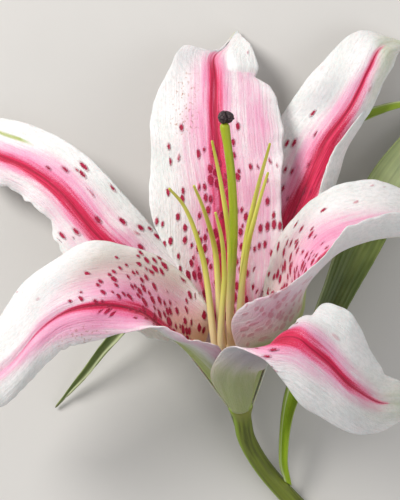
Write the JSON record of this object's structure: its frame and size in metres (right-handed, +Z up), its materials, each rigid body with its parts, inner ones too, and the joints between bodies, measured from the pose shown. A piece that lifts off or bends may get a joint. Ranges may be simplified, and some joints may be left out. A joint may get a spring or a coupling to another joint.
{
  "type": "cut lily",
  "caption": "Cut oriental lily bloom in pink and white, lying on its back, with bare filaments, a long pistil, a bent stem and narrow leaves.",
  "frame": {"origin": "middle of the footprint, on the surface the flower lies on", "axes": "+Z up; the bloom opens towards +Y and +Z; the stem runs off towards -Y and +X"},
  "size_m": [0.1814, 0.2428, 0.0806],
  "materials": {
    "inner_tepal": "soft fresh petal, satin, crimson midrib and spots on pink, white margins",
    "outer_tepal": "soft fresh petal, satin, crimson midrib on white",
    "filament": "smooth, pale yellow-green",
    "style": "smooth, yellow-green",
    "stigma": "matt, dark purple-brown",
    "stem": "smooth, olive green",
    "leaf": "satin with parallel veins, mid green"
  },
  "bodies": {
    "root": {"inner_tepal_back": "inner_tepal", "inner_tepal_left": "inner_tepal", "inner_tepal_right": "inner_tepal", "outer_tepal_back_right": "outer_tepal", "outer_tepal_back_left": "outer_tepal", "outer_tepal_front": "outer_tepal", "filament_1": "filament", "filament_2": "filament", "filament_3": "filament", "filament_4": "filament", "filament_5": "filament", "filament_6": "filament", "pistil": "style", "stigma": "stigma", "stem": "stem", "bract_leaf": "leaf", "narrow_leaf_left": "leaf", "narrow_leaf_right": "leaf"}
  },
  "joints": []
}
